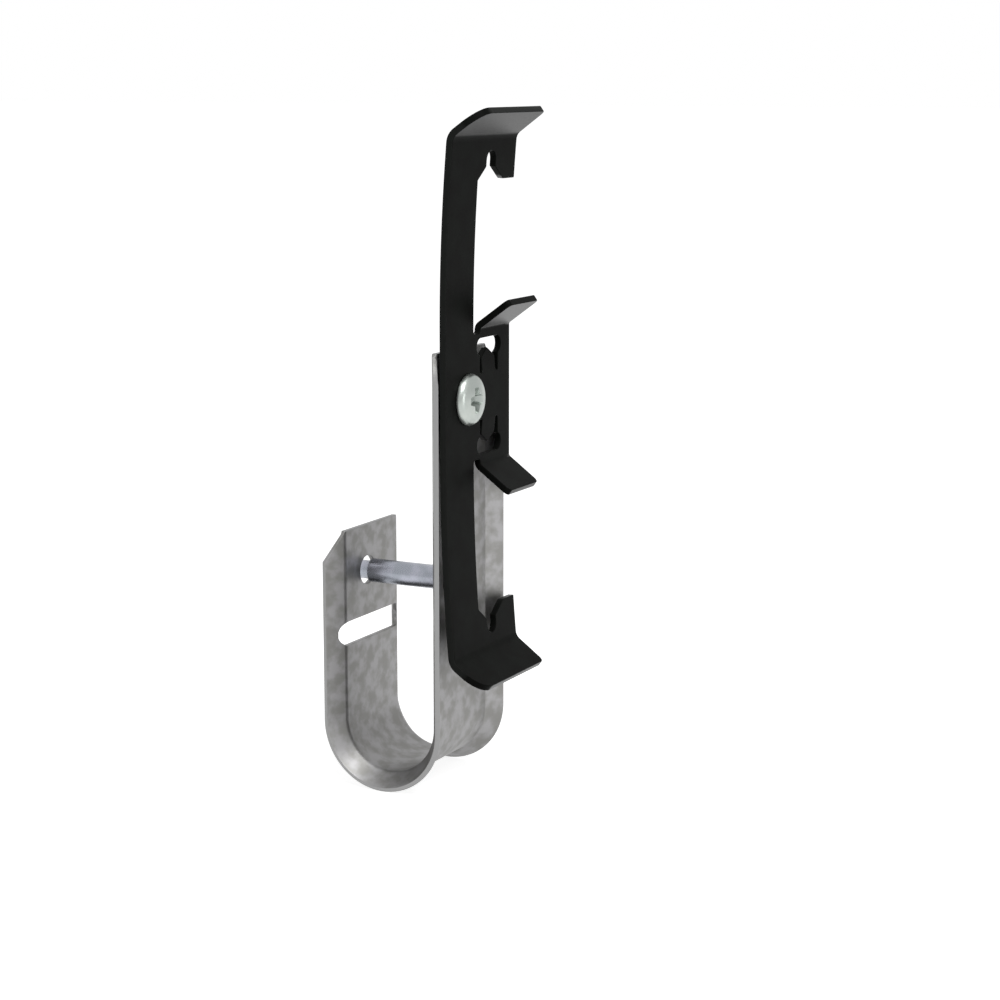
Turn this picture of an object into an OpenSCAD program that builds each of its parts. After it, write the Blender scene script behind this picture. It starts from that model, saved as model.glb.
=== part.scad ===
// J-hook cable support with a spring clip for hanger wire, rod or flange.
// The origin is the centre of the saddle that the cable bundle lies in.
// X runs along the cables, Y across the mouth (clip side negative), Z up.

/* [Hook strip] */
// Radius of the saddle, to the strip's inner face
saddle_r = 9.5; // [8:0.5:25]
// Thickness of the galvanised strip
sheet_t = 1.0; // [0.8:0.1:1.4]
// Width of the flat between the two folds
flat_w = 19.6; // [18:0.2:30]
// Width of each turned-back edge, measured up its slope
flange_len = 4.5; // [4:0.1:6]
// Angle by which each edge is turned back from the flat
flange_ang = 32; // [25:1:38]
// Inner radius of the two folds
fold_r = 0.8; // [0.5:0.1:1.5]
// Height of the back leg above the saddle's centre
back_h = 71.7; // [70:0.1:76]
// Height of the front leg above the saddle's centre
front_h = 36.6; // [34:0.2:44]
// Drop of the cut corner across each turned-back edge
corner_drop = 5.7; // [3:0.1:6]

/* [Tie slot] */
// Height of the slot's middle on the front leg
slot_z = 16.4; // [13:0.1:18]
// Length of the slot, across both folds
slot_len = 22.6; // [14:0.2:23.4]
// Height of the slot
slot_h = 4.6; // [4.4:0.1:6]

/* [Retaining pin] */
// Height of the pin across the mouth
pin_z = 27.6; // [25:0.1:29]
// Sideways place of the pin
pin_x = -1.5; // [-3:0.1:3]
// Diameter of the pin's shank
pin_d = 4.6; // [4:0.1:5.2]
// Diameter of the pin's nose
nose_d = 3.6; // [3:0.1:3.8]
// Diameter of the hole that the nose stands in
nose_hole_d = 5.6; // [5:0.1:6]
// Gap between the pin's shoulder and the front leg
shoulder_gap = 0.9; // [0.3:0.1:1.5]
// Length of nose past the front leg's outer face
nose_out = 1.2; // [0.5:0.1:3]
// Diameter of the pin's flat head
pin_head_d = 7.6; // [6.4:0.1:8]
// Thickness of the pin's flat head
pin_head_t = 1.2; // [0.8:0.1:1.4]

/* [Spring clip] */
// Thickness of the spring steel
clip_t = 1.3; // [1:0.1:1.5]
// Width of the clip over its end bars
clip_w = 25.6; // [25:0.1:28]
// Width of the spine
spine_w = 11; // [10.6:0.1:11.6]
// Distance from the back leg's top down to the clip's middle, where the screw is
screw_drop = 9.0; // [7.6:0.1:11]
// Distance from the middle to each end fold
arm_len = 49.2; // [46:0.2:54]
// Angle by which each arm leans out at its end fold
arm_lean = 4.8; // [2:0.1:6]
// Share of each arm's length at which its bow is half turned
bow_share = 0.46; // [0.4:0.01:0.46]
// Length of each end finger plate, from its fold
end_len = 8; // [6:0.1:10]
// Angle of all four finger plates from level
plate_ang = 36; // [25:0.5:45]
// Inner radius of the end folds
end_fold_r = 2; // [1:0.1:3]
// Rounding of an end finger plate's corner on the spine side
end_corner_r = 4.2; // [2:0.1:5]
// Rounding of the other finger plate corners
plate_corner_r = 0.9; // [0.5:0.1:1.5]

/* [Clip middle] */
// Distance from the middle to each fold of the middle plate
mid_half = 13.5; // [13:0.1:15]
// Length of each middle finger plate, from its fold
mid_len = 8.5; // [6:0.1:10]
// Inner radius of the middle folds
mid_fold_r = 0.6; // [0.4:0.1:1.2]
// Width of the relief cut beside each middle fold
relief_w = 2.6; // [1.6:0.1:3]
// Corner radius at the bottom of the relief cut
relief_r = 0.6; // [0.3:0.1:0.8]

/* [Clip notches] */
// Sideways place of the line that the hanger wire takes
wire_x = 3.0; // [2.6:0.1:3.4]
// Width of each notch at its closed end
notch_w = 3.5; // [3:0.1:4]
// Distance from an end fold to the closed end of its notch
notch_top = 3.3; // [3:0.1:4]
// Length of the notch's parallel part
notch_straight = 3.0; // [2.5:0.1:4]
// Length of the tab beside each notch, from the end fold
tab_len = 8.7; // [8.2:0.1:10]
// Width of the tab beside each notch
tab_w = 4.5; // [4:0.1:5.5]

/* [Clip tongues] */
// Sideways place of the two lanced tongues
tongue_x = 4.3; // [4.1:0.1:4.6]
// Width of each tongue
tongue_w = 5.4; // [4.6:0.1:5.6]
// Width of the slit on each side of a tongue
slit_w = 0.9; // [0.6:0.1:1]
// Distance from the clip's middle to each tongue's root
tongue_root = 4.4; // [4.2:0.1:5]
// Distance that each tongue's point stands into its clearance window
tongue_lap = 1.2; // [0.6:0.1:1.5]
// Height of each tongue's point
point_h = 1.7; // [1:0.1:2]
// Angle by which each tongue is pushed in
tongue_ang = 5; // [2:0.5:8]
// Distance from each middle fold to its clearance window
window_inset = 2.5; // [2.2:0.1:3]
// Height of each clearance window
window_h = 3.3; // [2.8:0.1:3.6]
// Width of each clearance window
window_w = 9.6; // [9:0.1:9.8]

/* [Clip screw] */
// Sideways place of the screw
screw_x = -4; // [-4.6:0.1:-3.6]
// Diameter of the screw's shank
screw_d = 4.8; // [4:0.1:5]
// Diameter of the screw's head
head_d = 9.8; // [9:0.1:10]
// Height of the head's rim
head_rim = 0.7; // [0.5:0.1:1]
// Height of the whole head
head_h = 2.5; // [2.1:0.1:3]
// Length of each arm of the cross recess, tip to tip
cross_len = 5.4; // [4:0.1:6]
// Width of the cross recess's slots
cross_w = 1.1; // [0.8:0.1:1.4]
// Depth of the cross recess
cross_depth = 1.8; // [1:0.1:2]
// Height of the drawn collar that the screw threads into
collar_h = 1.3; // [0.8:0.1:1.8]
// Wall of the drawn collar
collar_wall = 1.1; // [0.8:0.1:1.5]

/* [Clearances] */
// Radial clearance of the pin's shank in the back leg
pin_clear = 0.1; // [0.05:0.05:0.3]
// Radial clearance of the screw in its collar
thread_clear = 0.05; // [0.03:0.01:0.1]
// Radial clearance of the screw in the clip
clip_hole_clear = 0.3; // [0.1:0.05:0.5]
// Gap between the clip and the hook's turned-back edges
seat_gap = 0.05; // [0.02:0.01:0.2]

/* [Hidden] */

round_fn = 96;
arc_fn = 720;
past = 1;                                   // how far a cutter runs past what it cuts

// Strip section: depth from the flat's inner face to the edges' outer corners
rim_d = flange_len * sin(flange_ang) + sheet_t * cos(flange_ang);
strip_half_w = flat_w / 2 + flange_len * cos(flange_ang);
leg_in = saddle_r;                          // a leg's inner face
leg_out = saddle_r + sheet_t;               // a leg's outer face

// Clip: height of its middle, and distance of its two faces from the saddle's middle
clip_z = back_h - screw_drop;
clip_in = saddle_r + rim_d + seat_gap;
clip_out = clip_in + clip_t;
clip_half_w = clip_w / 2;
spine_edge = spine_w - clip_half_w;
fold_turn = 90 - plate_ang;                 // turn of the finger plates from upright
mid_flat = mid_half - setback(mid_fold_r + clip_t, fold_turn);
// Each arm's bow starts level with the end of the middle plate's flat
bow_z = mid_flat + bow_share * (arm_len - mid_flat);
bow_r = floor((bow_z - mid_flat) / tan(arm_lean / 2) - clip_t);
tip_d = clip_t * cos(fold_turn);            // depth of a finger plate's tip
end_reach = (arm_len - bow_z) * tan(arm_lean) + end_len * sin(fold_turn) + tip_d;
mid_reach = mid_len * sin(fold_turn) + tip_d;
outline_h = arm_len + end_len;
window_mid = mid_half - window_inset - window_h / 2;
tongue_tip = window_mid - window_h / 2 + tongue_lap;

// A bar with round ends, lying along X
module stadium(len, h) {
    square([len - h, h], center = true);
    for (side = [-1, 1])
        translate([side * (len - h) / 2, 0])
            circle(d = h, $fn = round_fn);
}

// Stands a front outline up, and gives it depth from one Y to another
module through_y(from, to)
    translate([0, to, 0])
        rotate([90, 0, 0])
            linear_extrude(to - from)
                children();

// Lays a side profile (outward from the strip, up) across the width
module across_x(from, to)
    translate([to, 0, 0])
        rotate([90, 0, -90])
            linear_extrude(to - from)
                children();

// Profile of sheet of thickness t, bent towards +X. The runs are the plates' lengths on
// the outer face, as if the bends were sharp, the turns are the bends' angles and the
// radii their inner radii. It draws plate k, the bend after it, and what follows.
module bent_sheet(t, runs, turns, radii, k = 0) {
    last = k == len(turns);
    used = k == 0 ? 0 : setback(radii[k - 1] + t, turns[k - 1]);
    plate = runs[k] - used - (last ? 0 : setback(radii[k] + t, turns[k]));
    square([t, plate]);
    if (!last)
        translate([radii[k] + t, plate]) {
            bend(radii[k], radii[k] + t, turns[k]);
            rotate(-turns[k])
                translate([-radii[k] - t, 0])
                    bent_sheet(t, runs, turns, radii, k + 1);
        }
}

// What a bend takes from the plates on each side of it
function setback(outer_r, turn) = outer_r * tan(turn / 2);

// A sector of a ring, from -X by less than a quarter turn towards +Y
module bend(r_in, r_out, turn) {
    reach = r_out + past;
    intersection() {
        difference() {
            circle(r_out, $fn = arc_fn);
            circle(r_in, $fn = arc_fn);
        }
        translate([-reach, 0])
            square(reach);
        rotate(-turn)
            translate([-reach, -reach])
                square(reach);
    }
}

// Cross-section of the strip: depth from the inner face along X, width along Y
module strip_section()
    translate([flange_len * sin(flange_ang), -strip_half_w])
        rotate(flange_ang)
            bent_sheet(
                sheet_t,
                [flange_len, flat_w, flange_len],
                [flange_ang, flange_ang],
                [fold_r, fold_r]
            );

// A straight leg of the strip, with its two top corners cut across the edges
module leg(height) {
    slope = corner_drop / (strip_half_w - flat_w / 2);
    cut_x = strip_half_w + past;
    difference() {
        linear_extrude(height)
            translate([0, saddle_r])
                rotate(90)
                    strip_section();
        for (side = [0, 1])
            mirror([side, 0, 0])
                through_y(saddle_r - past, saddle_r + rim_d + past)
                    polygon([
                        [flat_w / 2, height],
                        [cut_x, height - slope * (cut_x - flat_w / 2)],
                        [cut_x, height + past],
                        [flat_w / 2, height + past]
                    ]);
    }
}

// The half-turn of strip under the cables
module saddle()
    rotate([-90, 0, 90])
        rotate_extrude(angle = 180, $fn = 180)
            translate([saddle_r, 0])
                strip_section();

// The drawn collar round the screw's hole, on the leg's inner side
module collar() {
    outer_r = screw_d / 2 + thread_clear + collar_wall;
    translate([screw_x, -leg_in - sheet_t / 2, clip_z])
        rotate([-90, 0, 0])
            cylinder(r = outer_r, h = sheet_t / 2 + collar_h, $fn = round_fn);
}

module j_hook() {
    color("silver")
        difference() {
            union() {
                leg(front_h);
                mirror([0, 1, 0])
                    leg(back_h);
                saddle();
                collar();
            }
            through_y(leg_in - past, saddle_r + rim_d + past)
                translate([0, slot_z])
                    stadium(slot_len, slot_h);
            through_y(leg_in - past, leg_out + past)
                translate([pin_x, pin_z])
                    circle(d = nose_hole_d, $fn = round_fn);
            through_y(-leg_out - past, -leg_in + past)
                translate([pin_x, pin_z])
                    circle(r = pin_d / 2 + pin_clear, $fn = round_fn);
            through_y(-leg_out - past, -leg_in + collar_h + past)
                translate([screw_x, clip_z])
                    circle(r = screw_d / 2 + thread_clear, $fn = round_fn);
        }
}

// Upper half of the side profile along an end: flat, bowed arm, fold, finger plate
module arm_profile()
    bent_sheet(
        clip_t,
        [bow_z, (arm_len - bow_z) / cos(arm_lean), end_len],
        [arm_lean, fold_turn - arm_lean],
        [bow_r, end_fold_r]
    );

// Upper half of the middle plate's side profile: flat, fold, finger plate
module mid_profile()
    bent_sheet(clip_t, [mid_half, mid_len], [fold_turn], [mid_fold_r]);

// The notch that the hanger wire slips into, with its mouth towards the middle
module notch() {
    closed = arm_len - notch_top;
    flare = closed - notch_straight;
    mouth = arm_len - tab_len;
    translate([wire_x, closed - notch_w / 2])
        circle(d = notch_w, $fn = round_fn);
    polygon([
        [wire_x - notch_w / 2, closed - notch_w / 2],
        [wire_x + notch_w / 2, closed - notch_w / 2],
        [wire_x + notch_w / 2, flare],
        [clip_half_w - tab_w, mouth],
        [clip_half_w - tab_w, mouth - past],
        [spine_edge, mouth - past],
        [spine_edge, mouth],
        [wire_x - notch_w / 2, flare]
    ]);
}

// Upper half of the clip's outline, seen from the front, without the middle plate
module end_outline()
    difference() {
        union() {
            translate([-clip_half_w, 0])
                square([spine_w, outline_h]);
            translate([-clip_half_w, arm_len - tab_len])
                square([clip_w, outline_h - arm_len + tab_len]);
        }
        notch();
    }

// Outline seen from above: straight sides, and the tip's two corners rounded
module plan_outline(from, to, reach, from_r, to_r) {
    translate([from, -past])
        square([to - to_r - from, past + reach - from_r]);
    translate([from + from_r, -past])
        square([to - from - from_r, past + reach - to_r]);
    translate([from + from_r, -past])
        square([to - from - from_r - to_r, past + reach]);
    translate([from + from_r, reach - from_r])
        circle(from_r, $fn = round_fn);
    translate([to - to_r, reach - to_r])
        circle(to_r, $fn = round_fn);
}

// A plan outline, drawn outward from the clip's inner face, run up through a height
module over_plan(h)
    mirror([0, 1, 0])
        linear_extrude(h)
            children();

// Spine and end bar of the upper half, with its finger plate
module clip_end()
    intersection() {
        across_x(-clip_half_w - past, clip_half_w + past)
            arm_profile();
        through_y(-end_reach - past, past)
            end_outline();
        over_plan(outline_h)
            plan_outline(-clip_half_w, clip_half_w, end_reach, end_corner_r, plate_corner_r);
    }

// Upper half of the middle plate's outline, with the relief cut beside its fold
module mid_outline() {
    finger_x = spine_edge + relief_w;
    difference() {
        translate([spine_edge - past, 0])
            square([clip_half_w - spine_edge + past, mid_flat]);
        translate([spine_edge + relief_w / 2, mid_flat])
            stadium(relief_w, 2 * relief_r);
    }
    translate([finger_x, 0])
        square([clip_half_w - finger_x, mid_half + mid_len]);
}

// Upper half of the middle plate, with its finger plate
module clip_middle()
    intersection() {
        across_x(spine_edge - past, clip_half_w + past)
            mid_profile();
        through_y(-mid_reach - past, past)
            mid_outline();
        over_plan(mid_half + mid_len) {
            translate([spine_edge - past, -past])
                square([clip_half_w - spine_edge + past, clip_t + 2 * past]);
            plan_outline(spine_edge + relief_w, clip_half_w, mid_reach, plate_corner_r, plate_corner_r);
        }
    }

// Window and slits that free a tongue from the middle plate
module tongue_cut() {
    cut_w = tongue_w + 2 * slit_w;
    translate([tongue_x, window_mid])
        stadium(window_w, window_h);
    translate([tongue_x - cut_w / 2, tongue_root])
        square([cut_w, window_mid - tongue_root]);
}

// A pointed tongue, pushed in about its root
module tongue() {
    reach = tongue_tip - tongue_root;
    translate([tongue_x, 0, tongue_root])
        rotate([-tongue_ang, 0, 0])
            through_y(-clip_t, 0)
                polygon([
                    [-tongue_w / 2, -clip_t],
                    [tongue_w / 2, -clip_t],
                    [tongue_w / 2, reach - point_h],
                    [0, reach],
                    [-tongue_w / 2, reach - point_h]
                ]);
}

module spring_clip() {
    color([0.12, 0.12, 0.13])
        translate([0, -clip_in, clip_z])
            difference() {
                for (half = [0, 1])
                    mirror([0, 0, half]) {
                        clip_end();
                        difference() {
                            clip_middle();
                            through_y(-clip_t - past, past)
                                tongue_cut();
                        }
                        tongue();
                    }
                through_y(-clip_t - past, past)
                    translate([screw_x, 0])
                        circle(r = screw_d / 2 + clip_hole_clear, $fn = round_fn);
            }
}

// Domed head: a rim, then a cap of a sphere down to it
module screw_head() {
    cap_h = head_h - head_rim;
    cap_r = (pow(head_d / 2, 2) + pow(cap_h, 2)) / (2 * cap_h);
    rotate_extrude($fn = round_fn)
        intersection() {
            translate([0, head_h - cap_r])
                circle(cap_r, $fn = arc_fn);
            square([head_d / 2, head_h]);
        }
}

// Cross recess: two slots whose ends drop straight at the lip, then slope in to a
// narrower floor
module cross_recess() {
    lip = head_h - 0.3;
    floor_half = cross_len / 5;
    for (turn = [0, 90])
        rotate([90, 0, turn])
            linear_extrude(cross_w, center = true)
                polygon([
                    [-cross_len / 2, head_h + past],
                    [cross_len / 2, head_h + past],
                    [cross_len / 2, lip],
                    [floor_half, head_h - cross_depth],
                    [-floor_half, head_h - cross_depth],
                    [-cross_len / 2, lip]
                ]);
}

module clip_screw() {
    shank = clip_out - leg_in + collar_h;
    color([0.75, 0.77, 0.75])
        translate([screw_x, -clip_out, clip_z])
            rotate([90, 0, 0])
                union() {
                    difference() {
                        screw_head();
                        cross_recess();
                    }
                    translate([0, 0, -shank])
                        cylinder(d = screw_d, h = shank + head_rim / 2, $fn = round_fn);
                }
}

module retaining_pin() {
    shank_end = leg_in - shoulder_gap;
    nose_end = leg_out + nose_out;
    chamfer = 0.4;
    color([0.72, 0.75, 0.8])
        translate([pin_x, 0, pin_z])
            rotate([-90, 0, 0])
                rotate_extrude($fn = round_fn)
                    polygon([
                        [0, -leg_out - pin_head_t],
                        [pin_head_d / 2 - chamfer / 2, -leg_out - pin_head_t],
                        [pin_head_d / 2, -leg_out - pin_head_t + chamfer / 2],
                        [pin_head_d / 2, -leg_out],
                        [pin_d / 2, -leg_out],
                        [pin_d / 2, shank_end - chamfer],
                        [pin_d / 2 - chamfer, shank_end],
                        [nose_d / 2, shank_end],
                        [nose_d / 2, nose_end - chamfer],
                        [nose_d / 2 - chamfer, nose_end],
                        [0, nose_end]
                    ]);
}

j_hook();
spring_clip();
clip_screw();
retaining_pin();
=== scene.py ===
"""J hook cable support with a spring clip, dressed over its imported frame.

The strip and the clip are cut as flat blanks and pressed to shape by Geometry
Nodes, the way sheet metal is made. The screw, its collar and the pin are turned.
Lengths in the classes are millimetres; meshes are metres.
"""

import logging
import math
from dataclasses import asdict, dataclass, field
from enum import Enum
from typing import Callable

import bmesh
import bpy
from mathutils import Matrix, Vector
from mathutils.geometry import delaunay_2d_cdt


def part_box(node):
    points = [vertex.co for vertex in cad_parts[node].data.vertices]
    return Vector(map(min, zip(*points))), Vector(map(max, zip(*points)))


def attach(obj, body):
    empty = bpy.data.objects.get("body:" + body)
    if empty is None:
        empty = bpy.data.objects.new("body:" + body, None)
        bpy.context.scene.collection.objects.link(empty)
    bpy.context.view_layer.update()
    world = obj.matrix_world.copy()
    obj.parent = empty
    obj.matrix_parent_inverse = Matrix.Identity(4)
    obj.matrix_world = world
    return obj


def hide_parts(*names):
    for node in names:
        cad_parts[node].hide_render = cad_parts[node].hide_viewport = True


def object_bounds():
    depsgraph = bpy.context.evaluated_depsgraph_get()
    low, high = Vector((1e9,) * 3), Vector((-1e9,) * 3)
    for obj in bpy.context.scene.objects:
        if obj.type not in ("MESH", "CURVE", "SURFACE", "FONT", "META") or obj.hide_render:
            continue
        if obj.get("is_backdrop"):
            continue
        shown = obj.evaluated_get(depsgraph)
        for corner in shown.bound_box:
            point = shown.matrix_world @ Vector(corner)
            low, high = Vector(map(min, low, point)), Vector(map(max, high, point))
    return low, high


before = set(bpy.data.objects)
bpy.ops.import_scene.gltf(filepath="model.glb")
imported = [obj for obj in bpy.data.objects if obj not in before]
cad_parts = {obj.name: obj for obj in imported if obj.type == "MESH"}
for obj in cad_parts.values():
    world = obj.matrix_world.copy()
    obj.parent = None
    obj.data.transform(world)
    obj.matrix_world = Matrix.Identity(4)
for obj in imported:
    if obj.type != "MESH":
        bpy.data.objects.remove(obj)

log = logging.getLogger("j_hook_support")

MM = 0.001
BODY = "root"
FLAT_MAP = "flat"
FACE_WEIGHT = 80
ON_AXIS = 1e-6

AXIS_TO_Y = Matrix.Rotation(math.radians(-90), 4, "X")      # +Z of a lathe to +Y
SHEET_UPRIGHT = Matrix.Rotation(math.radians(90), 4, "X")   # a blank's Y to +Z, its +Z to -Y

Point = tuple[float, float]
Loop = list[Point]


# ---------------------------------------------------------------- flat outlines


def arc(centre: Point, radii: Point, start: float, end: float, steps: int) -> Loop:
    """Points along part of an ellipse.

    Args:
        centre: Middle of the ellipse.
        radii: Half axes along X and Y.
        start: First angle, in degrees.
        end: Last angle, in degrees.
        steps: Number of chords.

    Returns:
        The points, from start to end.
    """
    turns = [math.radians(start + (end - start) * i / steps) for i in range(steps + 1)]
    return [(centre[0] + radii[0] * math.cos(t), centre[1] + radii[1] * math.sin(t)) for t in turns]


def disc(centre: Point, radius: float, steps: int = 48) -> Loop:
    """A closed round outline.

    Args:
        centre: Middle of the circle.
        radius: Its radius.
        steps: Number of chords.

    Returns:
        The points, the first not repeated.
    """
    return arc(centre, (radius, radius), 0, 360, steps)[:-1]


@dataclass
class Blank:
    """A flat blank of sheet: what the press starts from.

    Attributes:
        name: The finished piece's name.
        outline: Outer edge, in millimetres.
        holes: Inner edges.
        thickness: Sheet thickness.
        cuts: Lines across the blank along which it will bend, as (axis, place).
    """

    name: str
    outline: Loop
    holes: list[Loop]
    thickness: float
    cuts: list[tuple[int, float]] = field(default_factory=list)

    MERGE_MM = 0.03
    FACES_WITH_HOLES = 5

    def bend_lines(self, axis: int, start: float, length: float, steps: int) -> None:
        """Adds the lines of one bend and of its mirror image.

        Args:
            axis: 0 for lines at a place along X, 1 along Y.
            start: Where the bend starts.
            length: Its length on the flat.
            steps: Number of facets that it is bent in.
        """
        for i in range(steps + 1):
            place = start + length * i / steps
            self.cuts.append((axis, place))
            if place != 0:
                self.cuts.append((axis, -place))

    def object(self) -> bpy.types.Object:
        """Cuts the blank out and scores its bend lines.

        Returns:
            A flat mesh object in metres, facing +Z, its UV map the flat place in
            millimetres.
        """
        points: list[Vector] = []
        loops: list[list[int]] = []
        for loop in [self.outline, *self.holes]:
            loops.append(list(range(len(points), len(points) + len(loop))))
            points += [Vector(p) for p in loop]
        verts, _, faces, *_ = delaunay_2d_cdt(points, [], loops, self.FACES_WITH_HOLES, 1e-6)
        bm = bmesh.new()
        made = [bm.verts.new((v.x, v.y, 0)) for v in verts]
        for f in faces:
            bm.faces.new([made[i] for i in f])
        for axis, place in self.cuts:
            normal = Vector((1, 0, 0)) if axis == 0 else Vector((0, 1, 0))
            bmesh.ops.bisect_plane(
                bm,
                geom=[*bm.verts, *bm.edges, *bm.faces],
                plane_co=normal * place,
                plane_no=normal,
                dist=self.MERGE_MM / 2,
            )
        bmesh.ops.remove_doubles(bm, verts=bm.verts, dist=self.MERGE_MM)
        for f in bm.faces:
            if f.normal.z < 0:
                f.normal_flip()
        flat = bm.loops.layers.uv.new(FLAT_MAP)
        for f in bm.faces:
            for corner in f.loops:
                corner[flat].uv = corner.vert.co.xy
        bmesh.ops.scale(bm, vec=(MM, MM, MM), verts=bm.verts)
        mesh = bpy.data.meshes.new(self.name)
        bm.to_mesh(mesh)
        bm.free()
        piece = bpy.data.objects.new(self.name, mesh)
        bpy.context.scene.collection.objects.link(piece)
        return piece


# ---------------------------------------------------------------- node building


class NodeGraph:
    """Short hand for building a node tree: sockets go in, sockets come out."""

    STEP_X = 180
    STEP_Y = 160
    ROWS = 4
    MIX_COLOURS = (6, 7)
    MIX_RESULT = 2

    def __init__(self, tree: bpy.types.NodeTree) -> None:
        """Wraps a tree.

        Args:
            tree: The tree to build in.
        """
        self.tree = tree
        self.column = 0

    def node(self, kind: str, **settings: object) -> bpy.types.Node:
        """Adds a node.

        Args:
            kind: Its type name.
            **settings: Attributes to set on it.

        Returns:
            The node.
        """
        made = self.tree.nodes.new(kind)
        self.column += 1
        made.location = (self.column * self.STEP_X, -(self.column % self.ROWS) * self.STEP_Y)
        for key, value in settings.items():
            setattr(made, key, value)
        return made

    def feed(self, socket: bpy.types.NodeSocket, value: object) -> None:
        """Links a socket or sets its value.

        Args:
            socket: The input.
            value: Another socket, or a plain value.
        """
        if isinstance(value, bpy.types.NodeSocket):
            self.tree.links.new(value, socket)
        else:
            socket.default_value = value

    def math(self, operation: str, *values: object) -> bpy.types.NodeSocket:
        """A scalar operation.

        Args:
            operation: Its name, such as MULTIPLY.
            *values: Its inputs.

        Returns:
            The result.
        """
        made = self.node("ShaderNodeMath", operation=operation)
        for socket, value in zip(made.inputs, values):
            self.feed(socket, value)
        return made.outputs[0]

    def clamp(self, value: object, low: object, high: object) -> bpy.types.NodeSocket:
        """Keeps a value between two others.

        Args:
            value: What to limit.
            low: Its least value.
            high: Its greatest value.

        Returns:
            The limited value.
        """
        return self.math("MINIMUM", self.math("MAXIMUM", value, low), high)

    def band(self, value: object, low: float, high: float) -> bpy.types.NodeSocket:
        """Maps a value smoothly to 0 at low and 1 at high.

        Args:
            value: What to map.
            low: Where the result is 0.
            high: Where the result is 1.

        Returns:
            The mapped value.
        """
        made = self.node("ShaderNodeMapRange", interpolation_type="SMOOTHSTEP")
        self.feed(made.inputs["Value"], value)
        made.inputs["From Min"].default_value = low
        made.inputs["From Max"].default_value = high
        return made.outputs["Result"]

    def mix(self, factor: object, low: object, high: object) -> bpy.types.NodeSocket:
        """Blends two colours.

        Args:
            factor: 0 for low, 1 for high.
            low: First colour.
            high: Second colour.

        Returns:
            The blend.
        """
        made = self.node("ShaderNodeMix", data_type="RGBA")
        self.feed(made.inputs["Factor"], factor)
        for place, colour in zip(self.MIX_COLOURS, (low, high)):
            self.feed(made.inputs[place], colour)
        return made.outputs[self.MIX_RESULT]


class SocketKind(Enum):
    """Kinds of socket that a tree of this script offers."""

    GEOMETRY = "NodeSocketGeometry"
    NUMBER = "NodeSocketFloat"
    SWITCH = "NodeSocketBool"
    PLACE = "NodeSocketVector"
    FINISH = "NodeSocketMaterial"


def new_tree(
    name: str, kind: str, inputs: dict[str, SocketKind], outputs: dict[str, SocketKind]
) -> NodeGraph:
    """Starts a node tree with named sockets.

    Args:
        name: The tree's name.
        kind: GeometryNodeTree or ShaderNodeTree.
        inputs: Names and kinds of its inputs.
        outputs: Names and kinds of its outputs.

    Returns:
        The graph, with its group input and output as nodes named In and Out.
    """
    tree = bpy.data.node_groups.new(name, kind)
    for label, socket in inputs.items():
        tree.interface.new_socket(label, in_out="INPUT", socket_type=socket.value)
    for label, socket in outputs.items():
        tree.interface.new_socket(label, in_out="OUTPUT", socket_type=socket.value)
    graph = NodeGraph(tree)
    graph.node("NodeGroupInput").name = "In"
    graph.node("NodeGroupOutput").name = "Out"
    return graph


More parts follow.
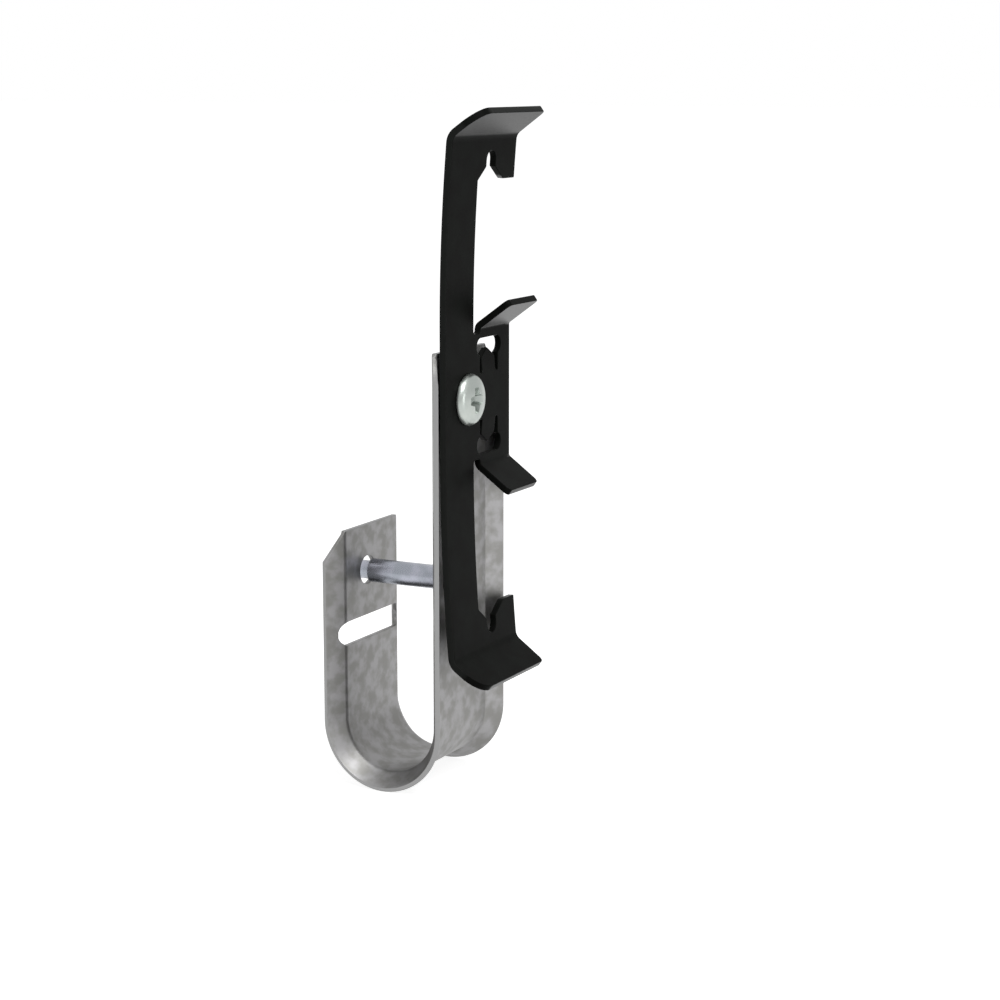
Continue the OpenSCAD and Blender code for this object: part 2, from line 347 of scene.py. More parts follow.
class BendGroup:
    """Geometry node group that bends sheet round an axis that lies across it."""

    NAME = "Bend sheet"
    AXES = (Vector((1, 0, 0)), Vector((0, 1, 0)))

    def tree(self) -> bpy.types.NodeTree:
        """The group, built once.

        A point's way along the sheet is taken from the middle line outwards, so one
        bend shapes both ends. What lies past the bend turns with it as a whole.

        Returns:
            The group. Radius is that of the face that the blank stands for, Turn is
            positive towards +Z, and Across picks a bend across Y and not X.
        """
        found = bpy.data.node_groups.get(self.NAME)
        if found:
            return found
        g = new_tree(
            self.NAME,
            "GeometryNodeTree",
            {
                "Geometry": SocketKind.GEOMETRY,
                "Start": SocketKind.NUMBER,
                "Radius": SocketKind.NUMBER,
                "Turn": SocketKind.NUMBER,
                "Across": SocketKind.SWITCH,
                "Selection": SocketKind.SWITCH,
            },
            {"Geometry": SocketKind.GEOMETRY},
        )
        given = g.tree.nodes["In"].outputs
        place = g.node("ShaderNodeSeparateXYZ")
        g.feed(place.inputs[0], g.node("GeometryNodeInputPosition").outputs[0])
        x, y, z = place.outputs
        pick = g.node("GeometryNodeSwitch", input_type="FLOAT")
        g.feed(pick.inputs["Switch"], given["Across"])
        g.feed(pick.inputs["False"], x)
        g.feed(pick.inputs["True"], y)
        along = pick.outputs[0]
        side = g.math("SIGN", along)
        way = g.math("SIGN", given["Turn"])
        past = g.math("SUBTRACT", g.math("ABSOLUTE", along), given["Start"])
        turn = g.clamp(g.math("DIVIDE", past, given["Radius"]), 0.0, g.math("ABSOLUTE", given["Turn"]))
        rest = g.math("SUBTRACT", past, g.math("MULTIPLY", turn, given["Radius"]))
        height = g.math("MULTIPLY", z, way)
        lever = g.math("SUBTRACT", given["Radius"], height)
        sine, cosine = g.math("SINE", turn), g.math("COSINE", turn)
        out = g.math(
            "ADD",
            g.math("ADD", given["Start"], g.math("MULTIPLY", lever, sine)),
            g.math("MULTIPLY", rest, cosine),
        )
        up = g.math(
            "ADD",
            g.math("SUBTRACT", given["Radius"], g.math("MULTIPLY", lever, cosine)),
            g.math("MULTIPLY", rest, sine),
        )
        beyond = g.math("GREATER_THAN", past, 0.0)
        moved_along = g.math("MULTIPLY", out, side)
        moved_up = g.math("MULTIPLY", up, way)
        across = g.node("GeometryNodeSwitch", input_type="VECTOR")
        g.feed(across.inputs["Switch"], given["Across"])
        for label, parts in (("False", (moved_along, y, moved_up)), ("True", (x, moved_along, moved_up))):
            joined = g.node("ShaderNodeCombineXYZ")
            for socket, part in zip(joined.inputs, parts):
                g.feed(socket, part)
            g.feed(across.inputs[label], joined.outputs[0])
        both = g.node("FunctionNodeBooleanMath", operation="AND")
        g.feed(both.inputs[0], given["Selection"])
        g.feed(both.inputs[1], beyond)
        shift = g.node("GeometryNodeSetPosition")
        g.feed(shift.inputs["Geometry"], given["Geometry"])
        g.feed(shift.inputs["Selection"], both.outputs[0])
        g.feed(shift.inputs["Position"], across.outputs[0])
        g.feed(g.tree.nodes["Out"].inputs[0], shift.outputs[0])
        return g.tree


@dataclass(frozen=True)
class Zone:
    """A rectangle of a blank, in millimetres, symmetric about the X axis.

    Attributes:
        low_x: Least X.
        high_x: Greatest X.
        far_y: Greatest distance from the X axis.
        inside: Whether the bend works inside the zone or outside it.
    """

    low_x: float
    high_x: float
    far_y: float
    inside: bool = True


@dataclass(frozen=True)
class Bend:
    """One bend of a blank.

    Attributes:
        label: What the press calls it.
        start: Where it starts, in millimetres from the middle line.
        radius: Radius of the blank's face in the bend.
        turn: Angle in degrees, positive towards +Z.
        across: Whether it lies across Y.
        zone: Part of the blank that it works on, or None for all of it.
    """

    label: str
    start: float
    radius: float
    turn: float
    across: bool
    zone: Zone | None = None

    @property
    def length(self) -> float:
        """Length of flat sheet that the bend takes."""
        return self.radius * math.radians(abs(self.turn))


@dataclass
class Press:
    """Presses a blank to shape with a chain of bends, then sets it in place.

    Attributes:
        name: Name of the Geometry Nodes tree.
        bends: The bends, the outermost first.
        placing: How the pressed sheet is set into the row frame.
    """

    name: str
    bends: list[Bend]
    placing: Matrix

    def tree(self) -> bpy.types.NodeTree:
        """The press as a node tree with named inputs for every bend.

        Returns:
            The tree.
        """
        inputs = {"Geometry": SocketKind.GEOMETRY}
        for bend in self.bends:
            for size in ("start", "radius", "turn"):
                inputs[f"{bend.label} {size}"] = SocketKind.NUMBER
        inputs["Finish"] = SocketKind.FINISH
        g = new_tree(self.name, "GeometryNodeTree", inputs, {"Geometry": SocketKind.GEOMETRY})
        given = g.tree.nodes["In"].outputs
        sheet = given["Geometry"]
        at = g.node("ShaderNodeSeparateXYZ")
        keep = g.node("GeometryNodeCaptureAttribute")
        keep.capture_items.new("VECTOR", "Flat place")
        g.feed(keep.inputs["Geometry"], sheet)
        g.feed(keep.inputs[1], g.node("GeometryNodeInputPosition").outputs[0])
        g.feed(at.inputs[0], keep.outputs[1])
        sheet = keep.outputs[0]
        for bend in self.bends:
            shaped = g.node("GeometryNodeGroup")
            shaped.node_tree = BendGroup().tree()
            g.feed(shaped.inputs["Geometry"], sheet)
            for size in ("start", "radius", "turn"):
                g.feed(shaped.inputs[size.title()], given[f"{bend.label} {size}"])
            shaped.inputs["Across"].default_value = bend.across
            shaped.inputs["Selection"].default_value = True
            if bend.zone:
                g.feed(shaped.inputs["Selection"], self.in_zone(g, at.outputs, bend.zone))
            sheet = shaped.outputs[0]
        realize = g.node("GeometryNodeRealizeInstances")
        g.feed(realize.inputs[0], sheet)
        dress = g.node("GeometryNodeSetMaterial")
        g.feed(dress.inputs["Geometry"], realize.outputs[0])
        g.feed(dress.inputs["Material"], given["Finish"])
        g.feed(g.tree.nodes["Out"].inputs[0], dress.outputs[0])
        return g.tree

    @staticmethod
    def in_zone(g: NodeGraph, flat: list[bpy.types.NodeSocket], zone: Zone) -> bpy.types.NodeSocket:
        """Whether a point of the blank lies where a bend works.

        Args:
            g: The graph.
            flat: The point's X, Y and Z on the blank.
            zone: The zone.

        Returns:
            1 where the bend works.
        """
        right = g.math("GREATER_THAN", flat[0], zone.low_x * MM)
        left = g.math("LESS_THAN", flat[0], zone.high_x * MM)
        near = g.math("LESS_THAN", g.math("ABSOLUTE", flat[1]), zone.far_y * MM)
        found = g.math("MULTIPLY", g.math("MULTIPLY", right, left), near)
        return found if zone.inside else g.math("SUBTRACT", 1.0, found)

    def values(self) -> dict[str, float]:
        """Values for the tree's inputs, in metres and radians."""
        sizes: dict[str, float] = {}
        for bend in self.bends:
            sizes[f"{bend.label} start"] = bend.start * MM
            sizes[f"{bend.label} radius"] = bend.radius * MM
            sizes[f"{bend.label} turn"] = math.radians(bend.turn)
        return sizes


def add_tree(
    piece: bpy.types.Object, tree: bpy.types.NodeTree, values: dict[str, object]
) -> bpy.types.Modifier:
    """Puts a Geometry Nodes tree on an object and sets its inputs.

    Args:
        piece: The object.
        tree: The tree.
        values: Input names and values.

    Returns:
        The modifier.
    """
    made = piece.modifiers.new(tree.name, "NODES")
    made.node_group = tree
    known = {item.name: item.identifier for item in tree.interface.items_tree if item.in_out == "INPUT"}
    for label, value in values.items():
        made[known[label]] = value
    return made


def settle(piece: bpy.types.Object, placing: Matrix = Matrix.Identity(4)) -> bpy.types.Object:
    """Turns an object and its modifiers into one plain mesh at the origin.

    Args:
        piece: The object.
        placing: Where its mesh goes in the row frame.

    Returns:
        The same object with its final mesh.
    """
    bpy.context.view_layer.update()
    graph = bpy.context.evaluated_depsgraph_get()
    mesh = bpy.data.meshes.new_from_object(
        piece.evaluated_get(graph), preserve_all_data_layers=True, depsgraph=graph
    )
    piece.modifiers.clear()
    mesh.transform(placing)
    mesh.name = piece.name
    piece.data = mesh
    return piece


def round_edges(piece: bpy.types.Object, width: float, segments: int = 2, limit: float = 40) -> None:
    """Takes the sharpness off an object's edges.

    Args:
        piece: The object.
        width: Width of the rounding, in millimetres.
        segments: Facets across it.
        limit: Least angle between faces that counts as an edge, in degrees.
    """
    soft = piece.modifiers.new("Rounded edges", "BEVEL")
    soft.width = width * MM
    soft.segments = segments
    soft.limit_method = "ANGLE"
    soft.angle_limit = math.radians(limit)
    soft.use_clamp_overlap = False
    soft.miter_outer = "MITER_ARC"
    level = piece.modifiers.new("Face-weighted normals", "WEIGHTED_NORMAL")
    level.keep_sharp = False
    level.weight = FACE_WEIGHT


# ---------------------------------------------------------------- finishes


EdgeDistance = Callable[[NodeGraph], bpy.types.NodeSocket]


class EdgeWearGroup:
    """Shader group: how worn or bare a point is, from its distance to the nearest edge."""

    NAME = "Edge wear"
    NOISE_SCALE = 900.0
    NOISE_DETAIL = 5.0

    def tree(self) -> bpy.types.NodeTree:
        """The group, built once.

        Returns:
            The group. Distance is in millimetres, Reach is how far wear goes in, and
            Breakup how much a fine noise interrupts it.
        """
        found = bpy.data.node_groups.get(self.NAME)
        if found:
            return found
        g = new_tree(
            self.NAME,
            "ShaderNodeTree",
            {
                "Place": SocketKind.PLACE,
                "Distance": SocketKind.NUMBER,
                "Reach": SocketKind.NUMBER,
                "Breakup": SocketKind.NUMBER,
            },
            {"Mask": SocketKind.NUMBER},
        )
        given = g.tree.nodes["In"].outputs
        noise = g.node("ShaderNodeTexNoise")
        g.feed(noise.inputs["Vector"], given["Place"])
        noise.inputs["Scale"].default_value = self.NOISE_SCALE
        noise.inputs["Detail"].default_value = self.NOISE_DETAIL
        uneven = g.math("MULTIPLY", g.math("SUBTRACT", noise.outputs[0], 0.5), given["Breakup"])
        near = g.math("SUBTRACT", 1.0, g.math("DIVIDE", given["Distance"], given["Reach"]))
        g.feed(g.tree.nodes["Out"].inputs[0], g.clamp(g.math("ADD", near, uneven), 0.0, 1.0))
        return g.tree


class GrainGroup:
    """Shader group: fine rolled or drawn grain that runs along one direction."""

    NAME = "Rolled grain"
    DETAIL = 6.0
    COARSENESS = 0.62
    CLOUD_SHARE = 0.08
    CLOUD_DETAIL = 3.0

    def tree(self) -> bpy.types.NodeTree:
        """The group, built once.

        Returns:
            The group. Stretch lengthens the grain along the place's Y, and Scale is
            the count of grains in a metre across it.
        """
        found = bpy.data.node_groups.get(self.NAME)
        if found:
            return found
        g = new_tree(
            self.NAME,
            "ShaderNodeTree",
            {
                "Place": SocketKind.PLACE,
                "Scale": SocketKind.NUMBER,
                "Stretch": SocketKind.NUMBER,
            },
            {"Grain": SocketKind.NUMBER, "Cloud": SocketKind.NUMBER},
        )
        given = g.tree.nodes["In"].outputs
        squeeze = g.node("ShaderNodeCombineXYZ")
        squeeze.inputs[0].default_value = 1.0
        g.feed(squeeze.inputs[1], g.math("DIVIDE", 1.0, given["Stretch"]))
        squeeze.inputs[2].default_value = 1.0
        placed = g.node("ShaderNodeVectorMath", operation="MULTIPLY")
        g.feed(placed.inputs[0], given["Place"])
        g.feed(placed.inputs[1], squeeze.outputs[0])
        fine = g.node("ShaderNodeTexNoise")
        g.feed(fine.inputs["Vector"], placed.outputs[0])
        g.feed(fine.inputs["Scale"], given["Scale"])
        fine.inputs["Detail"].default_value = self.DETAIL
        fine.inputs["Roughness"].default_value = self.COARSENESS
        cloud = g.node("ShaderNodeTexNoise")
        g.feed(cloud.inputs["Vector"], given["Place"])
        g.feed(cloud.inputs["Scale"], g.math("MULTIPLY", given["Scale"], self.CLOUD_SHARE))
        cloud.inputs["Detail"].default_value = self.CLOUD_DETAIL
        g.feed(g.tree.nodes["Out"].inputs["Grain"], fine.outputs[0])
        g.feed(g.tree.nodes["Out"].inputs["Cloud"], cloud.outputs[0])
        return g.tree


@dataclass(frozen=True)
class Finish:
    """What every finish of this object has.

    Attributes:
        name: Material name.
        slot: Name of its material slot, not used here.
        colour: Base colour, linear.
        cloudy: Second base colour, where the surface is clouded.
        worn: Colour of bare or rubbed metal.
        metallic: How metallic it is.
        roughness: Mean roughness.
        roughness_spread: How far roughness varies with the grain.
        grain_scale: Grains in a metre.
        grain_stretch: Length of a grain over its width.
        grain_depth: Height of the grain, in metres.
        wear_reach: How far wear goes in from an edge, in millimetres.
        specular: How strongly a non-metal reflects; 0.5 is plain plastic.
        grazing_specular: The same where it is seen almost along its surface.
    """

    name: str
    slot: str
    colour: tuple[float, float, float]
    cloudy: tuple[float, float, float]
    metallic: float
    roughness: float
    roughness_spread: float
    grain_scale: float
    grain_stretch: float
    grain_depth: float
    worn: tuple[float, float, float] = (0.0, 0.0, 0.0)
    wear_reach: float = 0.0
    specular: float = 0.5
    grazing_specular: float = 0.5

    CLOUD_BAND = (0.35, 0.65)
    GRAZING_BAND = (0.62, 0.88)
    WEAR_BREAKUP = 0.9

    def material(self, distance: EdgeDistance | None = None) -> bpy.types.Material:
        """The finish as a material, built once for each name.

        Args:
            distance: Adds nodes that give the distance to the piece's nearest edge in
                millimetres, where the finish wears.

        Returns:
            The material.
        """
        found = bpy.data.materials.get(self.name)
        if found:
            return found
        made = bpy.data.materials.new(self.name)
        made.use_nodes = True
        made.diffuse_color = (*self.colour, 1.0)
        g = NodeGraph(made.node_tree)
        shader = made.node_tree.nodes["Principled BSDF"]
        place = g.node("ShaderNodeTexCoord").outputs["Object"]
        grain = g.node("ShaderNodeGroup")
        grain.node_tree = GrainGroup().tree()
        g.feed(grain.inputs["Place"], self.grain_place(g, place))
        grain.inputs["Scale"].default_value = self.grain_scale
        grain.inputs["Stretch"].default_value = self.grain_stretch
        cloud = g.band(grain.outputs["Cloud"], *self.CLOUD_BAND)
        base = g.mix(cloud, (*self.colour, 1.0), (*self.cloudy, 1.0))
        rough = g.math(
            "ADD",
            self.roughness - self.roughness_spread / 2,
            g.math("MULTIPLY", grain.outputs["Grain"], self.roughness_spread),
        )
        if distance and self.wear_reach:
            wear = g.node("ShaderNodeGroup")
            wear.node_tree = EdgeWearGroup().tree()
            g.feed(wear.inputs["Place"], place)
            g.feed(wear.inputs["Distance"], distance(g))
            wear.inputs["Reach"].default_value = self.wear_reach
            wear.inputs["Breakup"].default_value = self.WEAR_BREAKUP
            base = g.mix(wear.outputs["Mask"], base, (*self.worn, 1.0))
        g.feed(shader.inputs["Base Color"], base)
        g.feed(shader.inputs["Roughness"], rough)
        shader.inputs["Metallic"].default_value = self.metallic
        shader.inputs["Specular IOR Level"].default_value = self.specular
        if self.grazing_specular != self.specular:
            facing = g.node("ShaderNodeLayerWeight").outputs["Facing"]
            band = g.band(facing, *self.GRAZING_BAND)
            rise = g.math("MULTIPLY", band, self.grazing_specular - self.specular)
            g.feed(shader.inputs["Specular IOR Level"], g.math("ADD", rise, self.specular))
        bump = g.node("ShaderNodeBump")
        bump.inputs["Strength"].default_value = 1.0
        bump.inputs["Distance"].default_value = self.grain_depth
        g.feed(bump.inputs["Height"], grain.outputs["Grain"])
        g.feed(shader.inputs["Normal"], bump.outputs[0])
        return made

    def grain_place(self, g: NodeGraph, place: bpy.types.NodeSocket) -> bpy.types.NodeSocket:
        """Where the grain is read.

        Args:
            g: The graph, unused here.
            place: The point in the piece's own frame, in metres.

        Returns:
            The place that the grain follows, which here is the point itself.
        """
        return place


@dataclass(frozen=True)
class SheetFinish(Finish):
    """A finish whose grain follows the sheet that the piece was pressed from."""

    def grain_place(self, g: NodeGraph, place: bpy.types.NodeSocket) -> bpy.types.NodeSocket:
        """Where the grain is read.

        Args:
            g: The graph.
            place: The point in the piece's own frame, unused here.

        Returns:
            The point's place on the flat blank, in metres.
        """
        flat = g.node("ShaderNodeUVMap", uv_map=FLAT_MAP)
        scaled = g.node("ShaderNodeVectorMath", operation="SCALE")
        g.feed(scaled.inputs[0], flat.outputs[0])
        scaled.inputs["Scale"].default_value = MM
        return scaled.outputs[0]


GALVANISED = SheetFinish(
    name="Galvanised strip",
    slot="galvanised_strip",
    colour=(0.215, 0.213, 0.205),
    cloudy=(0.30, 0.297, 0.30),
    worn=(0.27, 0.27, 0.27),
    metallic=1.0,
    roughness=0.46,
    roughness_spread=0.10,
    grain_scale=4200.0,
    grain_stretch=6.0,
    grain_depth=0.0000035,
    wear_reach=0.30,
)

BLACK_STEEL = SheetFinish(
    name="Black spring steel",
    slot="black_spring_steel",
    colour=(0.0045, 0.0046, 0.0042),
    cloudy=(0.006, 0.0068, 0.006),
    worn=(0.015, 0.016, 0.015),
    metallic=0.0,
    specular=0.015,
    grazing_specular=0.5,
    roughness=0.38,
    roughness_spread=0.14,
    grain_scale=2600.0,
    grain_stretch=1.6,
    grain_depth=0.000004,
    wear_reach=0.16,
)

ZINC_SCREW = Finish(
    name="Zinc screw",
    slot="zinc_screw",
    colour=(0.36, 0.39, 0.37),
    cloudy=(0.46, 0.49, 0.46),
    metallic=1.0,
    roughness=0.34,
    roughness_spread=0.10,
    grain_scale=2600.0,
    grain_stretch=1.0,
    grain_depth=0.000002,
)

ZINC_PIN = Finish(
    name="Zinc pin",
    slot="zinc_pin",
    colour=(0.30, 0.32, 0.36),
    cloudy=(0.38, 0.39, 0.45),
    metallic=1.0,
    roughness=0.27,
    roughness_spread=0.10,
    grain_scale=3600.0,
    grain_stretch=0.2,
    grain_depth=0.0000015,
)

GALVANISED_COLLAR = Finish(
    **asdict(GALVANISED)
    | {"name": "Drawn galvanised collar", "grain_scale": 2400.0, "grain_stretch": 1.0, "wear_reach": 0.0}
)


# ---------------------------------------------------------------- the J hook


@dataclass
class JHook:
    """The galvanised strip: a J with turned-back edges, and its drawn collar.

    Attributes are millimetres and degrees. The blank's X is the strip's width and
    its Y the way along it, from the bottom of the saddle towards the front leg.
    """

    saddle_r: float = 9.5
    thickness: float = 1.0
    flat_w: float = 19.6
    edge_len: float = 4.5
    edge_turn: float = 32.0
    fold_r: float = 0.8
    front_h: float = 36.6
    corner_drop: float = 5.7
    slot_z: float = 16.4
    slot_len: float = 22.6
    slot_h: float = 4.6
    pin_x: float = -1.5
    pin_z: float = 27.6
    nose_hole_r: float = 2.8
    pin_hole_r: float = 2.4
    screw_x: float = -4.0
    screw_hole_r: float = 2.45
    collar_h: float = 1.3
    collar_wall: float = 1.1
    collar_flare: float = 0.45
    collar_lip: float = 0.2
    collar_root: float = 0.1
    edge_round: float = 0.13
    arc_steps: int = 20
    fold_steps: int = 8
    saddle_steps: int = 40
    flare_steps: int = 6
    lip_steps: int = 4

    CORNER_SHARES = (0, 0.1, 0.25, 1)

    def __post_init__(self) -> None:
        """Works out the blank's own sizes, and takes the back leg's height from the frame."""
        low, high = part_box("j_hook")
        self.back_h = high.z / MM
        self.screw_z = sum(c.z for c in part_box("clip_screw")) / 2 / MM
        self.face_r = self.fold_r + self.thickness
        self.fold_x = self.flat_w / 2 - self.face_r * math.tan(math.radians(self.edge_turn / 2))
        self.half_bend = self.saddle_r * math.pi / 2
        self.edge_x = self.flat_w / 2 + self.edge_len * math.cos(math.radians(self.edge_turn))

    def width_at(self, x: float) -> float:
        """Where a point seen from the front lies across the flat blank.

        Args:
            x: Distance from the middle, seen from the front; either sign.

        Returns:
            The distance from the middle on the blank, with the same sign.
        """
        turn = math.radians(self.edge_turn)
        reach = abs(x)
        bend_x = self.fold_x + self.face_r * math.sin(turn)
        if reach <= self.fold_x:
            flat = reach
        elif reach <= bend_x:
            flat = self.fold_x + self.face_r * math.asin((reach - self.fold_x) / self.face_r)
        else:
            flat = self.fold_x + self.face_r * turn + (reach - bend_x) / math.cos(turn)
        return math.copysign(flat, x)

    def outline(self) -> Loop:
        """Outer edge of the blank, with the cut corners of both legs."""
        run = self.edge_x - self.flat_w / 2
        slope = self.corner_drop / run
        cut = [self.flat_w / 2 + run * share for share in self.CORNER_SHARES]
        corner = [(self.width_at(x), slope * (x - self.flat_w / 2)) for x in cut]
        front, back = self.half_bend + self.front_h, self.half_bend + self.back_h
        right_front = [(w, front - drop) for w, drop in reversed(corner)]
        right_back = [(w, drop - back) for w, drop in corner]
        return (
            right_back
            + right_front
            + [(-w, y) for w, y in reversed(right_front)]
            + [(-w, y) for w, y in reversed(right_back)]
        )

    def slot(self) -> Loop:
        """The tie slot through the front leg, out across both folds."""
        half, r = (self.slot_len - self.slot_h) / 2, self.slot_h / 2
        y = self.half_bend + self.slot_z
        right = arc((half, y), (r, r), -90, 90, self.arc_steps)
        ends = right + arc((-half, y), (r, r), 90, 270, self.arc_steps)
        return [(self.width_at(x), at) for x, at in ends]

    def holes(self) -> list[Loop]:
        """The slot and the round holes."""
        front = self.half_bend + self.pin_z
        return [
            self.slot(),
            disc((self.pin_x, front), self.nose_hole_r),
            disc((self.pin_x, -front), self.pin_hole_r),
            disc((self.screw_x, -self.half_bend - self.screw_z), self.screw_hole_r),
        ]

    def edge_distance(self, g: NodeGraph) -> bpy.types.NodeSocket:
        """Nodes for the distance from the strip's long edges.

        Args:
            g: The material's graph.

        Returns:
            The distance, in millimetres on the blank.
        """
        flat = g.node("ShaderNodeSeparateXYZ")
        g.feed(flat.inputs[0], g.node("ShaderNodeUVMap", uv_map=FLAT_MAP).outputs[0])
        side = g.math("SUBTRACT", self.width_at(self.edge_x), g.math("ABSOLUTE", flat.outputs[0]))
        front = g.math("SUBTRACT", self.half_bend + self.front_h, flat.outputs[1])
        back = g.math("ADD", self.half_bend + self.back_h, flat.outputs[1])
        return g.math("MINIMUM", side, g.math("MINIMUM", front, back))

    def strip(self) -> bpy.types.Object:
        """Cuts, folds and bends the strip.

        Returns:
            The strip's object.
        """
        blank = Blank("galvanised_j_strip", self.outline(), self.holes(), self.thickness)
        edges = Bend("Edge", self.fold_x, self.face_r, -self.edge_turn, across=False)
        saddle = Bend("Saddle", 0.0, self.saddle_r, 90.0, across=True)
        blank.bend_lines(0, edges.start, edges.length, self.fold_steps)
        blank.bend_lines(1, 0.0, saddle.length, self.saddle_steps)
        press = Press("Press J hook", [edges, saddle], Matrix.Translation((0, 0, -self.saddle_r * MM)))
        piece = blank.object()
        add_tree(piece, press.tree(), press.values() | {"Finish": GALVANISED.material(self.edge_distance)})
        thicken(piece, self.thickness, -1.0)
        round_edges(piece, self.edge_round)
        return settle(piece, press.placing)

    def collar(self) -> bpy.types.Object:
        """Turns the drawn collar on the back leg's inner side.

        Returns:
            The collar's object.
        """
        bore, outer = self.screw_hole_r, self.screw_hole_r + self.collar_wall
        flare, lip = self.collar_flare, self.collar_lip
        profile = [
            (bore, -self.thickness / 2),
            (outer + flare + self.collar_root, -self.thickness / 2),
            *arc((outer + flare, flare), (flare, flare), -90, -180, self.flare_steps),
            *arc((outer - lip, self.collar_h - lip), (lip, lip), 0, 90, self.lip_steps),
            *arc((bore + lip, self.collar_h - lip), (lip, lip), 90, 180, self.lip_steps),
        ]
        placing = Matrix.Translation((self.screw_x * MM, -self.saddle_r * MM, self.screw_z * MM))
        return turned("drawn_collar", profile, placing @ AXIS_TO_Y, ring=True)

    def build(self) -> list[bpy.types.Object]:
        """Builds and dresses the hook.

        Returns:
            Its pieces.
        """
        strip, collar = self.strip(), self.collar()
        collar.data.materials.append(GALVANISED_COLLAR.material())
        for piece in (strip, collar):
            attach(piece, BODY)
        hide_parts("j_hook")
        return [strip, collar]


# ---------------------------------------------------------------- the spring clip


@dataclass
class SpringClip:
    """The black spring-steel clip.

    Attributes are millimetres and degrees. The blank's X is the clip's width and
    its Y the way along it from the middle; both halves are the same.
    """

    thickness: float = 1.3
    spine_w: float = 11.0
    arm_len: float = 49.2
    arm_lean: float = 4.8
    bow_share: float = 0.46
    end_len: float = 8.0
    plate_turn: float = 54.0
    end_fold_r: float = 2.0
    end_corner_r: float = 4.2
    plate_corner_r: float = 0.9
    mid_half: float = 13.5
    mid_len: float = 8.5
    mid_fold_r: float = 0.6
    relief_w: float = 2.6
    relief_r: float = 0.6
    wire_x: float = 3.0
    notch_w: float = 3.5
    notch_top: float = 3.3
    notch_straight: float = 3.0
    tab_len: float = 8.7
    tab_w: float = 4.5
    tongue_x: float = 4.3
    tongue_w: float = 5.4
    slit_w: float = 0.9
    tongue_root: float = 4.4
    tongue_lap: float = 1.2
    point_h: float = 1.7
    tongue_turn: float = 5.0
    window_inset: float = 2.5
    window_h: float = 3.3
    window_w: float = 9.6
    screw_x: float = -4.0
    screw_hole_r: float = 2.7
    seat_gap: float = 0.05
    tongue_r: float = 1.0
    zone_margin: float = 1.0
    zone_clear: float = 5.0
    edge_round: float = 0.14
    arc_steps: int = 16
    relief_steps: int = 6
    tongue_steps: int = 1
    fold_steps: int = 10
    bow_steps: int = 14

    def __post_init__(self) -> None:
        """Works out the bends, and takes the clip's width and height from the frame."""
        low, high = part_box("spring_clip")
        self.half_w = high.x / MM
        self.middle_z = (low.z + high.z) / 2 / MM
        self.inner_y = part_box("j_hook")[0].y / MM - self.seat_gap
        self.spine_edge = self.spine_w - self.half_w
        self.mid_r = self.mid_fold_r + self.thickness
        self.end_r = self.end_fold_r + self.thickness
        self.mid_flat = self.mid_half - self.setback(self.mid_r, self.plate_turn)
        bow_corner = self.mid_flat + self.bow_share * (self.arm_len - self.mid_flat)
        half_tan = math.tan(math.radians(self.arm_lean / 2))
        self.bow_r = math.floor((bow_corner - self.mid_flat) / half_tan - self.thickness) + self.thickness
        bow_start = bow_corner - self.setback(self.bow_r, self.arm_lean)
        end_turn = self.plate_turn - self.arm_lean
        run = (self.arm_len - bow_corner) / math.cos(math.radians(self.arm_lean))
        straight = run - self.setback(self.bow_r, self.arm_lean) - self.setback(self.end_r, end_turn)
        left, right = self.spine_edge + self.relief_w / 2, self.half_w + self.zone_margin
        reach = self.arm_len - self.tab_len - self.zone_clear
        middle = Zone(left, right, reach)
        arms = Zone(left, right, reach, inside=False)
        self.bow = Bend("Bow", bow_start, self.bow_r, self.arm_lean, across=True, zone=arms)
        fold_start = bow_start + self.bow.length + straight
        self.end_fold = Bend("End fold", fold_start, self.end_r, end_turn, across=True, zone=arms)
        self.mid_fold = Bend(
            "Middle fold", self.mid_flat, self.mid_r, self.plate_turn, across=True, zone=middle
        )
        self.end_tip = fold_start + self.end_fold.length + self.end_len - self.setback(self.end_r, end_turn)
        self.mid_tip = (
            self.mid_flat + self.mid_fold.length + self.mid_len - self.setback(self.mid_r, self.plate_turn)
        )
        self.window_y = self.mid_half - self.window_inset - self.window_h / 2
        half_tongue = self.tongue_w / 2 + self.slit_w / 4
        tongue = Zone(self.tongue_x - half_tongue, self.tongue_x + half_tongue, self.window_y)
        self.tongue_bend = Bend(
            "Tongue", self.tongue_root, self.tongue_r, -self.tongue_turn, across=True, zone=tongue
        )

    @staticmethod
    def setback(radius: float, turn: float) -> float:
        """Length that a bend takes from the plates on each side of it.

        Args:
            radius: Radius of the outer face.
            turn: The bend's angle, in degrees.

        Returns:
            The length.
        """
        return radius * math.tan(math.radians(turn / 2))

    def along(self, z: float) -> float:
        """Where a height on an arm, seen from the front, lies along the flat blank.

        Args:
            z: Height over the clip's middle.

        Returns:
            The way along the blank.
        """
        lean = math.radians(self.arm_lean)
        top = self.bow.start + self.bow.radius * math.sin(lean)
        if z <= self.bow.start:
            return z
        if z <= top:
            return self.bow.start + self.bow.radius * math.asin((z - self.bow.start) / self.bow.radius)
        return self.bow.start + self.bow.length + (z - top) / math.cos(lean)

    def tip_corner(self, x: float, tip: float, radius: float, start: float) -> Loop:
        """A finger plate's rounded corner.

        Args:
            x: Where the corner would be, with its sign towards the plate's outside.
            tip: Where the plate's tip is along the blank.
            radius: Its radius, seen from above.
            start: 0 for a corner on the right, 90 for one on the left.

        Returns:
            Its points, the way that the outline runs.
        """
        stretch = radius / math.sin(math.radians(self.plate_turn))
        inner_x = x - radius if start == 0 else x + radius
        return arc((inner_x, tip - stretch), (radius, stretch), start, start + 90, self.arc_steps // 2)

